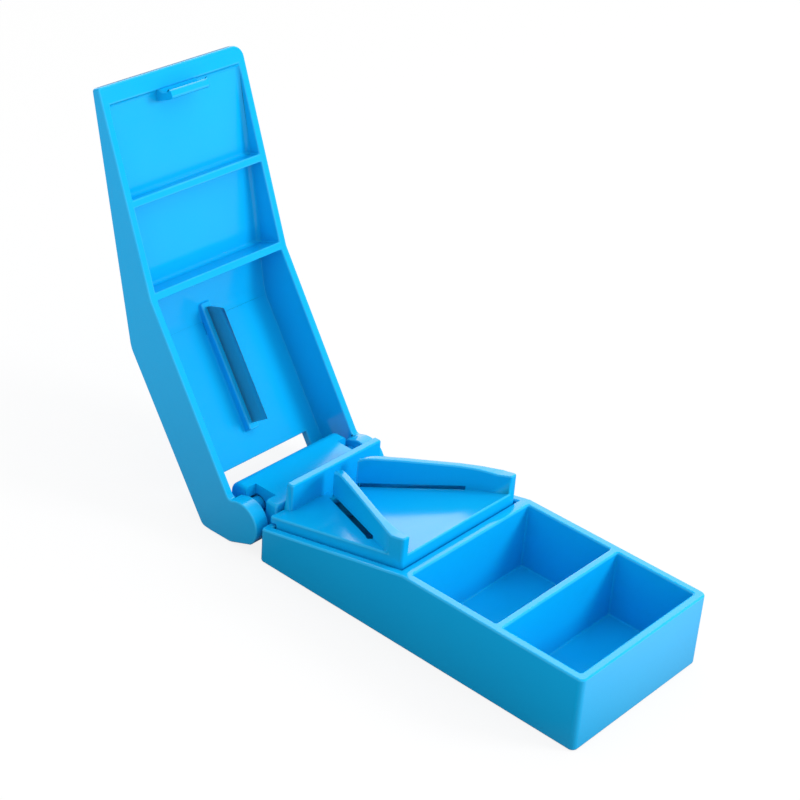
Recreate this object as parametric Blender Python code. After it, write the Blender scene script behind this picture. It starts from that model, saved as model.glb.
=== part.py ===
"""Pocket tablet splitter: a two-cell tray with a V-shaped tablet cradle, and a
wedge-shaped cover that carries the blade and swings on a hinge at the rear.

Metres, +Z up.  The origin is the centre of the tray's flat underside.  +X runs
from the hinge (rear) towards the two storage cells (front), +Y across the tray.
The cover is drawn shut, then stands open on its hinge axis.

Dimensions are millimetres, and x = 0 is the tray's rear face until a part is
finished.  Cutters run past the faces they open by a loose amount.
"""

import bpy
import bmesh
from math import atan2, cos, degrees, hypot, pi, radians, sin, tan
from mathutils import Matrix, Vector
from numpy import interp

MM = 0.001
NEAR = 1e-3                  # two coordinates this close count as equal
PAST = 1.0                   # how far most cutters run past a face
SHARP_ANGLE = 30             # degrees; edges steeper than this are shaded sharp
HALVINGS = 40                # steps of the two numerical searches

# ---------------------------------------------------------------- tray dimensions
TRAY_LENGTH = 72.5
TRAY_WIDTH = 34.5
RIM_HEIGHT = 14.6            # rim round the two storage cells
REAR_HEIGHT = 6.95           # side walls at the hinge end
KINK_X = 34.6                # side walls slope from here down to the rear
WALL = 1.7
FLOOR = 1.25
CORNER_R = 1.1               # upright outer corners
CELL_R = 0.7                 # edges inside the cells
REAR_WALL = 1.6
REAR_WALL_TOP = 6.85
CROSS_WALL = (32.3, 34.75)   # x range, between the cradle's well and the first cell
DIVIDER = (53.15, 54.7)      # x range, between the two cells
DIVIDER_TOP = 14.45
CATCH_Z = (10.7, 12.4)       # groove inside the front wall
CATCH_HALF = 4.5
CATCH_DEPTH = 0.5

HALF_WIDTH = TRAY_WIDTH / 2
INNER_HALF = HALF_WIDTH - WALL
FRONT_INNER = TRAY_LENGTH - WALL
WALL_SLOPE = (RIM_HEIGHT - REAR_HEIGHT) / KINK_X
ABOVE_TRAY = RIM_HEIGHT + 3  # top of the cutters that open the tray

HINGE_X = -6.8               # hinge axis, parallel to Y
HINGE_Z = 6.15
OPEN_ANGLE = 110.6           # degrees the cover stands open
KNUCKLE_REAR = -11.9
KNUCKLE_TOP = 10.0
KNUCKLE_BOTTOM = 3.0
KNUCKLE_HALF = 13.2
KNUCKLE_R = 2.4              # rear edges, parallel to Y
KNUCKLE_END_R = 0.7          # edges round each end
KNUCKLE_ROOT = (0.8, 6.4)    # x and top of the part set into the rear wall
SOCKET_R = 1.85
SOCKET_END = 10.1            # |y| where each blind socket stops
END_NOTCH_X = (-7.8, -2.6)   # notch at each end of the knuckle
END_NOTCH_Y = 10.8           # |y| it starts from
END_NOTCH_Z = 4.0            # z it starts from

# ---------------------------------------------------------------- cradle dimensions
CRADLE_REAR = 0.3
CRADLE_FRONT = 31.9
CRADLE_HALF = 15.2
CRADLE_BOTTOM = FLOOR + 0.3
CRADLE_CORNER_R = 0.6
DECK_Z0 = 8.8                # deck height at x = 0
DECK_SLOPE = 0.236
DECK_T = 1.5
SKIRT_T = 1.3
SKIRT_REAR = REAR_WALL + 0.3
BACK_WALL = (0.85, 2.5)      # x range of the upright wall behind the V
BACK_WALL_HALF = 11.7
BACK_WALL_TOP = 14.75
BACK_WALL_SINK = 0.8         # how far it reaches into the deck
BACK_WALL_R = 0.3
REAR_STOCK = 5.4             # blank's height above the deck at its rear end

ARM_T = 1.5                  # V arms
ARM_GAP = 0.7                # clear height under the free part of an arm
ARM_FREE_TO = 23.0           # the arm joins the deck in front of this
ARM_START = 5.2
ARM_TOP_STEPS = 26
# (x, height of an arm's top above the deck)
ARM_TOP = ((5.2, 5.5), (6.2, 5.95), (7.6, 6.05), (12.0, 5.8), (17.0, 5.35),
           (21.5, 4.95), (25.0, 4.5), (27.5, 4.05), (29.3, 3.75), (40.0, 3.7))
# (x, |y|) of an arm's inner face: two straight lines with the turn rounded
ARM_LINE_REAR = (4.9, 1.95)
ARM_LINE_TURN = (24.6, 11.75)
ARM_LINE_FRONT = (31.9, 13.55)
TURN_REACH = 3.0             # length in x of the rounding on each side of the turn
FLARE_FROM = 22.6            # x where the outer face starts to sweep outwards
FLARE_TURN_X = 27.4          # control point of that sweep
FLARE_END = (30.9, 16.0)
STOCK_END_X = 34.0           # arm stock runs past the cradle to here
STOCK_OUTER = 19.0
SLOT_REAR = 5.5
SLOT_FRONT = ARM_FREE_TO + 0.6
SLOT_INWARDS = 0.25          # slot margins beside the arm's inner and outer faces
SLOT_OUTWARDS = 0.6
SLOT_CORNER_R = 1.5

# ---------------------------------------------------------------- cover dimensions
COVER_WALL = 1.6
ROOF_T = 1.7
RIM_GAP = 0.3                # cover rim over tray rim when shut
RIM_Z = RIM_HEIGHT + RIM_GAP
RIM_KINK_X = KINK_X - 0.6    # the cover's rim slopes down to the rear from here
PEAK = (24.9, 24.15)         # ridge where the two roof slopes meet
PEAK_R = 6.0
ROOF_REAR_DEG = 13.3
TIP_X = 72.9
TIP_TOP = 16.7
TIP_INNER = 69.6
TIP_CORNER_R = ((-1, 0.6), (1, 2.4))   # (side in y, radius) of the tip's upright corners
COVER_REAR = -12.2           # rear face, down to the lugs
TABLE_GAP = 0.06             # what stands clear of the table when the cover is open
REAR_CORNER_R = 1.6
REAR_FOOT_R = 3.0
ROOF_EDGE_R = 2.1            # long roof edges
ROOF_EDGE_Z = 13.2           # only edges above this are rounded
LUG_X = -8.1                 # centre and radius of the lug's rounded foot
LUG_Z = 4.95
LUG_R = 4.35
LUG_CORNER_R = 1.2           # where the lug's front edge meets the rim
LUG_INNER = 14.1             # |y| of the lug's inner face
LUG_MARGIN = 0.3             # extra radius of the thick wall round the lug
STUB_R = 1.5
STUB_END = 10.5
WINDOW_X = -2.3              # front end of the notch over the knuckle
WINDOW_HALF = 12.6
WINDOW_Z = HINGE_Z + 6.6     # below this the notch is shorter
WINDOW_LOW_X = HINGE_X - 2.1
FOOT_NOTCH_HALF = 13.5       # wider part of the notch, round the knuckle
FOOT_NOTCH_TOP = HINGE_Z + 5.2
RIBS = ((33.6, 35.1), (50.8, 52.3))    # x ranges
HOLLOW_R = 0.9
HOLLOW_BELOW = 6             # front hollows start this far under the rim
HOLLOW_REAR = COVER_REAR + COVER_WALL
SIDE_INNER = HALF_WIDTH - COVER_WALL
TONGUE_X = (67.4, 69.5)
TONGUE_HALF = 4.5
TONGUE_END = 11.3
TONGUE_EDGE_R = 0.35
LIP_R = 0.7
EMBED = 0.9                  # tops of tongue and rib lie this deep in the roof

BLADE_RIB_T = 2.4
BLADE_RIB_H = 1.75
BLADE_RIB_X = (4.2, 29.2)
BLADE_T = 0.36
BLADE_SLOT = 0.9             # slot width, and the wider mouth the blade goes in by
BLADE_MOUTH = 1.5
MOUTH_DEPTH = 0.9
SLOT_MARGIN = 0.3            # slot beyond the blade's ends and back
BLADE_TOP = 1.3              # depths below the roof's outer face
BLADE_EDGE = 8.0
BLADE_GRIND = 1.1            # height of the ground edge
GROUND_HALF_T = 0.03         # half thickness left at the edge
BLADE_X = (5.4, 27.0)        # where the cutting edge starts and ends
BLADE_NOSE = 1.2             # how much longer the blade is at its back
NOSE_DEPTH = 0.6             # the blade's front end slants from this far below the rib

TILT = radians(ROOF_REAR_DEG)
REAR_SLOPE = tan(TILT)
FRONT_SLOPE = (PEAK[1] - TIP_TOP) / (TIP_X - PEAK[0])
RIB_DEPTH = ROOF_T + BLADE_RIB_H
BLADE_BACK_X = BLADE_X[1] + BLADE_NOSE


# ---------------------------------------------------------------- scene
for old in list(bpy.data.objects):
    bpy.data.objects.remove(old, do_unlink=True)


def collection(name):
    made = bpy.data.collections.new(name)
    bpy.context.scene.collection.children.link(made)
    return made


parts = collection("pill_splitter")
work = collection("cutters")


def material(name, colour, roughness, metallic):
    mat = bpy.data.materials.new(name)
    mat.use_nodes = True
    shader = mat.node_tree.nodes["Principled BSDF"]
    shader.inputs["Base Color"].default_value = (*colour, 1.0)
    shader.inputs["Roughness"].default_value = roughness
    shader.inputs["Metallic"].default_value = metallic
    mat.diffuse_color = (*colour, 1.0)
    return mat


# ---------------------------------------------------------------- solids
# Turns a prism drawn along Z so that it runs along the named axis.
PRISM_TURN = {
    "X": Matrix(((0, 0, 1, 0), (1, 0, 0, 0), (0, 1, 0, 0), (0, 0, 0, 1))),
    "Y": Matrix.Rotation(pi / 2, 4, "X"),
    "Z": Matrix.Identity(4),
}


def working_object(name, solid):
    """Turns a bmesh into a hidden helper object and frees it."""
    mesh = bpy.data.meshes.new(name)
    solid.to_mesh(mesh)
    solid.free()
    obj = bpy.data.objects.new(name, mesh)
    work.objects.link(obj)
    obj.hide_render = True
    return obj


def prism(name, outline, half, axis="Y", at=0.0):
    """A closed outline pushed out to +-half on either side of `at`.

    axis Y: the outline is (x, z).  axis Z: the outline is (x, y).
    axis X: the outline is (y, z).
    """
    curve = bpy.data.curves.new(name, "CURVE")
    curve.dimensions = "2D"
    curve.fill_mode = "BOTH"
    curve.extrude = half * MM
    spline = curve.splines.new("POLY")
    spline.points.add(len(outline) - 1)
    for point, (across, up) in zip(spline.points, outline):
        point.co = (across * MM, up * MM, 0.0, 1.0)
    spline.use_cyclic_u = True
    holder = bpy.data.objects.new(name, curve)
    work.objects.link(holder)
    graph = bpy.context.evaluated_depsgraph_get()
    mesh = bpy.data.meshes.new_from_object(holder.evaluated_get(graph))
    bpy.data.objects.remove(holder, do_unlink=True)

    solid = bmesh.new()
    solid.from_mesh(mesh)
    bmesh.ops.remove_doubles(solid, verts=solid.verts, dist=1e-6)
    bmesh.ops.dissolve_limit(solid, angle_limit=radians(0.05),
                             verts=solid.verts, edges=solid.edges)
    bmesh.ops.transform(solid, matrix=PRISM_TURN[axis], verts=solid.verts)
    shift = Vector()
    shift["XYZ".index(axis)] = at * MM
    bmesh.ops.translate(solid, vec=shift, verts=solid.verts)
    bmesh.ops.recalc_face_normals(solid, faces=solid.faces)
    return working_object(name, solid)


def box(name, x, y, z):
    """A box from three (low, high) ranges."""
    solid = bmesh.new()
    bmesh.ops.create_cube(solid, size=1.0)
    size = Matrix.Diagonal(((x[1] - x[0]) * MM, (y[1] - y[0]) * MM, (z[1] - z[0]) * MM, 1.0))
    bmesh.ops.transform(solid, matrix=size, verts=solid.verts)
    middle = Vector((x[0] + x[1], y[0] + y[1], z[0] + z[1])) * (MM / 2)
    bmesh.ops.translate(solid, vec=middle, verts=solid.verts)
    return working_object(name, solid)


def rod(name, x, z, radius, y, segments=40):
    """A round bar parallel to Y, from y[0] to y[1]."""
    solid = bmesh.new()
    bmesh.ops.create_cone(solid, cap_ends=True, segments=segments, radius1=radius * MM,
                          radius2=radius * MM, depth=abs(y[1] - y[0]) * MM)
    bmesh.ops.transform(solid, matrix=Matrix.Rotation(pi / 2, 4, "X"), verts=solid.verts)
    bmesh.ops.translate(solid, vec=(x * MM, (y[0] + y[1]) * MM / 2, z * MM),
                        verts=solid.verts)
    return working_object(name, solid)


def round_edges(obj, radius, segments, wanted):
    """Rounds the mesh edges that wanted(a, b) picks; a and b are the ends in mm."""
    solid = bmesh.new()
    solid.from_mesh(obj.data)
    chosen = [edge for edge in solid.edges
              if wanted(edge.verts[0].co / MM, edge.verts[1].co / MM)]
    bmesh.ops.bevel(solid, geom=chosen, offset=radius * MM, offset_type="OFFSET",
                    segments=segments, profile=0.5, affect="EDGES", clamp_overlap=True)
    solid.to_mesh(obj.data)
    solid.free()


def upright(a, b):
    return abs(a.x - b.x) < NEAR and abs(a.y - b.y) < NEAR


def on_side(a, b, half):
    """Whether an edge lies in one of the side faces y = +-half."""
    return abs(abs(a.y) - half) < NEAR and abs(a.y - b.y) < NEAR


def both_at_x(a, b, x, reach=NEAR):
    return abs(a.x - x) < reach and abs(b.x - x) < reach


def merge(target, tool, operation):
    """Joins or cuts target with tool, keeps the result as target's mesh."""
    boolean = target.modifiers.new(operation, "BOOLEAN")
    boolean.operation = operation
    boolean.object = tool
    boolean.solver = "EXACT"
    graph = bpy.context.evaluated_depsgraph_get()
    mesh = bpy.data.meshes.new_from_object(target.evaluated_get(graph))
    target.modifiers.clear()
    target.data = mesh
    bpy.data.objects.remove(tool, do_unlink=True)


def add(target, tool):
    merge(target, tool, "UNION")


def cut(target, tool):
    merge(target, tool, "DIFFERENCE")


def clean(mesh):
    solid = bmesh.new()
    solid.from_mesh(mesh)
    bmesh.ops.remove_doubles(solid, verts=solid.verts, dist=2e-6)
    bmesh.ops.dissolve_degenerate(solid, edges=solid.edges, dist=2e-6)
    solid.to_mesh(mesh)
    solid.free()


def finish(obj, name, mat, origin):
    """Makes a working solid a visible part, with the point `origin` (x, z) as its origin."""
    obj.name = name
    obj.data.name = name
    clean(obj.data)
    obj.data.transform(Matrix.Translation((-origin[0] * MM, 0.0, -origin[1] * MM)))
    obj.data.materials.clear()
    obj.data.materials.append(mat)
    obj.data.shade_smooth()
    obj.data.set_sharp_from_angle(angle=radians(SHARP_ANGLE))
    work.objects.unlink(obj)
    parts.objects.link(obj)
    obj.hide_render = False


# ---------------------------------------------------------------- outlines
def arc(centre_x, centre_z, radius, start, end, steps):
    """Points on a circle from start to end, both in degrees."""
    angles = [radians(start + (end - start) * i / steps) for i in range(steps + 1)]
    return [(centre_x + radius * cos(angle), centre_z + radius * sin(angle))
            for angle in angles]


def corner(before, at, after, radius, steps):
    """The corner `at` of an outline, rounded."""
    point = Vector(at)
    back = (Vector(before) - point).normalized()
    ahead = (Vector(after) - point).normalized()
    half = back.angle(ahead) / 2
    reach = radius / tan(half)
    centre = point + (back + ahead).normalized() * (radius / sin(half))
    start = point + back * reach - centre
    end = point + ahead * reach - centre
    first = atan2(start.y, start.x)
    turn = (atan2(end.y, end.x) - first + pi) % (2 * pi) - pi
    return [(centre.x + radius * cos(first + turn * i / steps),
             centre.y + radius * sin(first + turn * i / steps)) for i in range(steps + 1)]


def line_at(start, end, x):
    """Second coordinate at x of the straight line through two points."""
    return start[1] + (x - start[0]) * (end[1] - start[1]) / (end[0] - start[0])


def bezier(start, control, end, t):
    return (1 - t) ** 2 * start + 2 * t * (1 - t) * control + t * t * end


# ---------------------------------------------------------------- tray
def cut_cell(tray, name, x):
    tool = box(name, x, (-INNER_HALF, INNER_HALF), (FLOOR, ABOVE_TRAY))
    open_z = ABOVE_TRAY - 0.1
    round_edges(tool, CELL_R, 3, lambda a, b: not (a.z > open_z and b.z > open_z))
    cut(tray, tool)


def make_knuckle():
    """A flat-topped block with a rounded back, carried on the rear wall."""
    root_x, root_top = KNUCKLE_ROOT
    front_bottom, front_top = (0.0, KNUCKLE_BOTTOM), (0.0, KNUCKLE_TOP)
    rear_top = (KNUCKLE_REAR, KNUCKLE_TOP)
    rear_bottom = (KNUCKLE_REAR, KNUCKLE_BOTTOM)
    outline = [front_bottom, (root_x, KNUCKLE_BOTTOM), (root_x, root_top),
               (0.0, root_top), front_top]
    outline += corner(front_top, rear_top, rear_bottom, KNUCKLE_R, 7)
    outline += corner(rear_top, rear_bottom, front_bottom, KNUCKLE_R, 7)
    knuckle = prism("knuckle", outline, KNUCKLE_HALF)
    round_edges(knuckle, KNUCKLE_END_R, 3,
                lambda a, b: on_side(a, b, KNUCKLE_HALF) and max(a.x, b.x) < 0.1
                and not both_at_x(a, b, 0.0, 0.1))
    return knuckle


def make_tray():
    tray = prism("tray_body", [(0, 0), (TRAY_LENGTH, 0), (TRAY_LENGTH, RIM_HEIGHT),
                               (KINK_X, RIM_HEIGHT), (0, REAR_HEIGHT)], HALF_WIDTH)
    round_edges(tray, CORNER_R, 5, upright)
    cut_cell(tray, "rear_cell", (CROSS_WALL[1], DIVIDER[0]))
    cut_cell(tray, "front_cell", (DIVIDER[1], FRONT_INNER))
    # (name, x range, z from) of the square-edged openings between the side walls
    for name, x_range, bottom in (
            ("divider_top", (DIVIDER[0] - PAST, DIVIDER[1] + PAST), DIVIDER_TOP),
            ("well", (REAR_WALL, CROSS_WALL[0]), FLOOR),
            ("rear_sill", (-PAST, REAR_WALL + 0.5), REAR_WALL_TOP)):
        cut(tray, box(name, x_range, (-INNER_HALF, INNER_HALF), (bottom, ABOVE_TRAY)))
    cut(tray, box("catch_groove", (FRONT_INNER - PAST, FRONT_INNER + CATCH_DEPTH),
                  (-CATCH_HALF, CATCH_HALF), CATCH_Z))

    add(tray, make_knuckle())
    for side in (-1, 1):
        outer = side * (KNUCKLE_HALF + PAST)
        cut(tray, rod("socket", HINGE_X, HINGE_Z, SOCKET_R, (side * SOCKET_END, outer)))
        cut(tray, box("end_notch", END_NOTCH_X, sorted((side * END_NOTCH_Y, outer)),
                      (END_NOTCH_Z, KNUCKLE_TOP + PAST)))
    return tray


# ---------------------------------------------------------------- cradle
def deck(x):
    return DECK_Z0 + DECK_SLOPE * x


def arm_inner(x):
    """Half gap between the arms at x: straight, then turning into the front post."""
    turn_x, turn_y = ARM_LINE_TURN
    turn_from, turn_to = turn_x - TURN_REACH, turn_x + TURN_REACH
    if x <= turn_from:
        return line_at(ARM_LINE_REAR, ARM_LINE_TURN, x)
    if x >= turn_to:
        return line_at(ARM_LINE_TURN, ARM_LINE_FRONT, x)
    t = (x - turn_x + TURN_REACH) / (2 * TURN_REACH)
    return bezier(arm_inner(turn_from), turn_y, arm_inner(turn_to), t)


def arm_line(side, x_from, x_to, offset, steps):
    """Line in plan beside an arm's inner face, `offset` away from the middle of the V."""
    points = []
    for i in range(steps + 1):
        x = x_from + (x_to - x_from) * i / steps
        slope = (arm_inner(x + 0.05) - arm_inner(x - 0.05)) / 0.1
        length = hypot(1.0, slope)
        normal_x, normal_y = -slope / length, 1.0 / length
        points.append((x + normal_x * offset, side * (arm_inner(x) + normal_y * offset)))
    return points


def make_blank():
    """Skirt, deck and the stock the arms are cut from, as tall as the arms."""
    arm_x, arm_z = zip(*ARM_TOP)
    tops = [CRADLE_FRONT - (CRADLE_FRONT - ARM_START) * i / ARM_TOP_STEPS
            for i in range(ARM_TOP_STEPS + 1)]
    outline = [(SKIRT_REAR, CRADLE_BOTTOM), (CRADLE_FRONT, CRADLE_BOTTOM)]
    outline += [(x, deck(x) + float(interp(x, arm_x, arm_z))) for x in tops]
    outline += [(CRADLE_REAR, deck(CRADLE_REAR) + REAR_STOCK),
                (CRADLE_REAR, deck(CRADLE_REAR) - DECK_T),
                (SKIRT_REAR, deck(SKIRT_REAR) - DECK_T)]
    blank = prism("cradle_blank", outline, CRADLE_HALF)
    round_edges(blank, CRADLE_CORNER_R, 3, upright)
    return blank


def make_arm_stock(side):
    """Plan of one arm; its outer face sweeps out into a post at the front."""
    inner = arm_line(side, ARM_START, STOCK_END_X, 0.0, 24)
    outer = [point for point in arm_line(side, ARM_START, STOCK_END_X, ARM_T, 24)
             if point[0] < FLARE_FROM]
    control = (FLARE_TURN_X, line_at(outer[-2], outer[-1], FLARE_TURN_X))
    end = (FLARE_END[0], side * FLARE_END[1])
    sweep = [tuple(bezier(*coords, t) for coords in zip(outer[-1], control, end))
             for t in (0.2, 0.4, 0.6, 0.8, 1.0)]
    plan = inner + [(STOCK_END_X, side * STOCK_OUTER), (FLARE_END[0], side * STOCK_OUTER)]
    plan += sweep[::-1] + outer[::-1]
    return prism("arm_stock", plan, 25, "Z", 20.0)


def make_arm_slot(side):
    """A slot under one arm, which also lifts its free length clear of the deck."""
    inner = arm_line(side, SLOT_REAR, SLOT_FRONT, -SLOT_INWARDS, 10)
    outer = arm_line(side, SLOT_REAR, SLOT_FRONT, ARM_T + SLOT_OUTWARDS, 10)
    front = corner(outer[-2], outer[-1], inner[-1], SLOT_CORNER_R, 4)
    slot = prism("arm_slot", inner + front[::-1] + outer[-2::-1], 20, "Z")
    merge(slot, prism("slot_depth", [(-2.0, 2.0), (34.0, 2.0), (34.0, deck(34.0) + ARM_GAP),
                                     (-2.0, deck(-2.0) + ARM_GAP)], 19), "INTERSECT")
    return slot


def make_cradle():
    cradle = make_blank()
    under_rear, under_front = SKIRT_REAR + SKIRT_T, CRADLE_FRONT - SKIRT_T
    cut(cradle, prism("under_deck", [(under_rear, -3.0), (under_front, -3.0),
                                     (under_front, deck(under_front) - DECK_T),
                                     (under_rear, deck(under_rear) - DECK_T)],
                      CRADLE_HALF - SKIRT_T))

    # everything above the deck goes, except the two arms
    above = prism("above_deck", [(-1.0, deck(-1.0)), (33.0, deck(33.0)),
                                 (33.0, 40.0), (-1.0, 40.0)], CRADLE_HALF + 1.8)
    for side in (-1, 1):
        cut(above, make_arm_stock(side))
    cut(cradle, above)
    for side in (-1, 1):
        cut(cradle, make_arm_slot(side))

    back = box("back_wall", BACK_WALL, (-BACK_WALL_HALF, BACK_WALL_HALF),
               (deck(BACK_WALL[0]) - BACK_WALL_SINK, BACK_WALL_TOP))
    round_edges(back, BACK_WALL_R, 2, lambda a, b: min(a.z, b.z) > BACK_WALL_TOP - 0.01)
    add(cradle, back)
    return cradle


# ---------------------------------------------------------------- cover (drawn shut)
def roof(x, depth=0.0):
    """Height of the roof's outer face, or of a surface `depth` below it."""
    rear = PEAK[1] - (PEAK[0] - x) * REAR_SLOPE - depth / cos(TILT)
    front = PEAK[1] - (x - PEAK[0]) * FRONT_SLOPE - depth * hypot(1.0, FRONT_SLOPE)
    return min(rear, front)


def roof_peak(depth):
    """Where the two roof slopes meet, `depth` below the outer face."""
    rear = PEAK[1] - depth / cos(TILT)
    front = PEAK[1] - depth * hypot(1.0, FRONT_SLOPE)
    x = PEAK[0] + (front - rear) / (REAR_SLOPE + FRONT_SLOPE)
    return (x, roof(x, depth))


def cover_rim(x):
    return RIM_Z - max(0.0, RIM_KINK_X - x) * WALL_SLOPE


def height_open(x, z):
    """Height over the table, once the cover is open, of a point of the shut cover."""
    swing = radians(OPEN_ANGLE)
    return HINGE_Z + (x - HINGE_X) * sin(swing) + (z - HINGE_Z) * cos(swing)


def rear_face():
    """Top and foot of the sloping rear face, which just clears the table when open."""
    swing = radians(OPEN_ANGLE)
    foot_z = HINGE_Z + (HINGE_Z - TABLE_GAP + (COVER_REAR - HINGE_X) * sin(swing)) / -cos(swing)
    low, high = COVER_REAR, 10.0
    for _ in range(HALVINGS):
        middle = (low + high) / 2
        if height_open(middle, roof(middle)) > TABLE_GAP:
            high = middle
        else:
            low = middle
    return (high, roof(high)), (COVER_REAR, foot_z)


def inner_rear_top(rear_top, rear_foot):
    """Where the inside of the sloping rear face meets the inside of the roof."""
    lean = (rear_top[0] - rear_foot[0]) / (rear_top[1] - rear_foot[1])
    z = 12.0
    for _ in range(HALVINGS):
        x = HOLLOW_REAR + (z - rear_foot[1]) * lean
        z += 0.5 * (roof(x, ROOF_T) - z)
    return (x, z)


def make_cover_body(rear_top, rear_foot):
    tip_top = (TIP_X, TIP_TOP)
    rim_kink = (RIM_KINK_X, RIM_Z)
    # the side wall runs down past the hinge axis to the lug's rounded foot
    lug_reach = LUG_X - COVER_REAR
    lug_drop = (LUG_R ** 2 - lug_reach ** 2) ** 0.5
    lug_start = 180 + degrees(atan2(lug_drop, lug_reach))
    lug_front = LUG_X + LUG_R

    outline = [(TIP_X, RIM_Z), tip_top]
    outline += corner(tip_top, PEAK, rear_top, PEAK_R, 5)
    outline += corner(PEAK, rear_top, rear_foot, REAR_CORNER_R, 5)
    outline += corner(rear_top, rear_foot, (COVER_REAR, 0.0), REAR_FOOT_R, 3)
    outline += arc(LUG_X, LUG_Z, LUG_R, lug_start, 360.0, 16)
    outline += corner((lug_front, LUG_Z), (lug_front, cover_rim(lug_front)), rim_kink,
                      LUG_CORNER_R, 4)
    outline += [rim_kink]
    body = prism("cover_body", outline, HALF_WIDTH)
    round_edges(body, ROOF_EDGE_R, 5,
                lambda a, b: on_side(a, b, HALF_WIDTH)
                and a.z > ROOF_EDGE_Z and b.z > ROOF_EDGE_Z
                and not (a.z < RIM_Z + 0.1 and b.z < RIM_Z + 0.1)
                and not both_at_x(a, b, TIP_X))

    # a plan with rounded tip corners trims the front end only
    plan = box("tip_trim", (TIP_X - 60, TIP_X), (-HALF_WIDTH, HALF_WIDTH), (-5, 40))
    for side, radius in TIP_CORNER_R:
        face_y = side * HALF_WIDTH
        round_edges(plan, radius, 6, lambda a, b: both_at_x(a, b, TIP_X)
                    and abs(a.y - face_y) < NEAR and abs(b.y - face_y) < NEAR)
    add(plan, box("rear_keep", (-20, TIP_X - 30), (-HALF_WIDTH - 1, HALF_WIDTH + 1), (-5, 40)))
    merge(body, plan, "INTERSECT")
    return body


def make_hollow(name, outline, floor_z, inner_top_x):
    """A hollow with its edges rounded above floor_z, except along the rear face."""
    tool = prism(name, outline, SIDE_INNER)
    rear_limit = inner_top_x + 0.1
    round_edges(tool, HOLLOW_R, 3, lambda a, b: a.z > floor_z and b.z > floor_z
                and not (a.x < rear_limit and b.x < rear_limit))
    return tool


def hollow_out(cover, rear_top, rear_foot):
    inner_top = inner_rear_top(rear_top, rear_foot)
    bottom = RIM_Z - HOLLOW_BELOW
    for name, front, rear in (("tip_hollow", TIP_INNER, RIBS[1][1]),
                              ("middle_hollow", RIBS[1][0], RIBS[0][1])):
        outline = [(front, bottom), (front, roof(front, ROOF_T)),
                   (rear, roof(rear, ROOF_T)), (rear, bottom)]
        cut(cover, make_hollow(name, outline, bottom + 1, inner_top[0]))

    front = RIBS[0][0]
    outline = [(front, -4.0), (front, roof(front, ROOF_T)), roof_peak(ROOF_T), inner_top,
               (HOLLOW_REAR, rear_foot[1]), (HOLLOW_REAR, -4.0)]
    tool = make_hollow("rear_hollow", outline, 8.0, inner_top[0])
    for side in (-1, 1):      # the side wall stays thick round each lug
        cut(tool, rod("lug_stock", LUG_X, LUG_Z, LUG_R + LUG_MARGIN,
                      (side * LUG_INNER, side * (SIDE_INNER + PAST)), 64))
    cut(cover, tool)


def make_tongue():
    """The latch tongue, with a rounded lip at its end."""
    rear, front = TONGUE_X
    outline = [(rear, roof(rear, EMBED)), (67.6, TONGUE_END + 0.5),
               (67.9, TONGUE_END), (68.4, TONGUE_END)]
    outline += arc(68.6, TONGUE_END + LIP_R, LIP_R, -60, 60, 5)
    outline += [(69.0, TONGUE_END + 2.4), (front, RIM_Z - 0.4), (front, roof(front, EMBED))]
    tongue = prism("tongue", outline, TONGUE_HALF)
    round_edges(tongue, TONGUE_EDGE_R, 2,
                lambda a, b: on_side(a, b, TONGUE_HALF) and min(a.z, b.z) < TONGUE_END + 1.0)
    return tongue


def below_roof(edge_x, depth):
    """Point `depth` below the roof on the line, square to the roof, through the
    blade's cutting edge at edge_x."""
    x = edge_x + (depth - BLADE_EDGE) * sin(TILT)
    z = PEAK[1] - (PEAK[0] - edge_x) * REAR_SLOPE - BLADE_EDGE / cos(TILT)
    return (x, z + (BLADE_EDGE - depth) * cos(TILT))


def add_blade_rib(cover):
    """The slotted rib that holds the blade, square to the rear roof slope."""
    rear, front = BLADE_RIB_X
    top = [(x, min(z, roof(x, EMBED))) for x, z in (below_roof(rear, 1.0), below_roof(front, 1.0))]
    bottom = [below_roof(front, RIB_DEPTH), below_roof(rear, RIB_DEPTH)]
    add(cover, prism("blade_rib", top + bottom, BLADE_RIB_T / 2))
    rear, front = BLADE_X[0] - SLOT_MARGIN, BLADE_BACK_X + SLOT_MARGIN
    for depth, width in ((BLADE_TOP - SLOT_MARGIN, BLADE_SLOT),
                         (RIB_DEPTH - MOUTH_DEPTH, BLADE_MOUTH)):
        cut(cover, prism("blade_slot", [below_roof(rear, depth), below_roof(front, depth),
                                        below_roof(front, RIB_DEPTH + 2),
                                        below_roof(rear, RIB_DEPTH + 2)], width / 2))


def make_cover():
    rear_top, rear_foot = rear_face()
    cover = make_cover_body(rear_top, rear_foot)
    hollow_out(cover, rear_top, rear_foot)
    for side in (-1, 1):
        add(cover, rod("stub", HINGE_X, HINGE_Z, STUB_R,
                       (side * STUB_END, side * (LUG_INNER + PAST)), 32))

    # notch over the knuckle, a little wider round the knuckle's ends
    cut(cover, prism("notch", [(-30, -12), (WINDOW_LOW_X, -12), (WINDOW_LOW_X, WINDOW_Z),
                               (WINDOW_X, WINDOW_Z), (WINDOW_X, 40), (-30, 40)], WINDOW_HALF))
    cut(cover, box("notch_foot", (-30, HOLLOW_REAR + 0.8),
                   (-FOOT_NOTCH_HALF, FOOT_NOTCH_HALF), (-12, FOOT_NOTCH_TOP)))
    add(cover, make_tongue())
    add_blade_rib(cover)
    return cover


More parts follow.
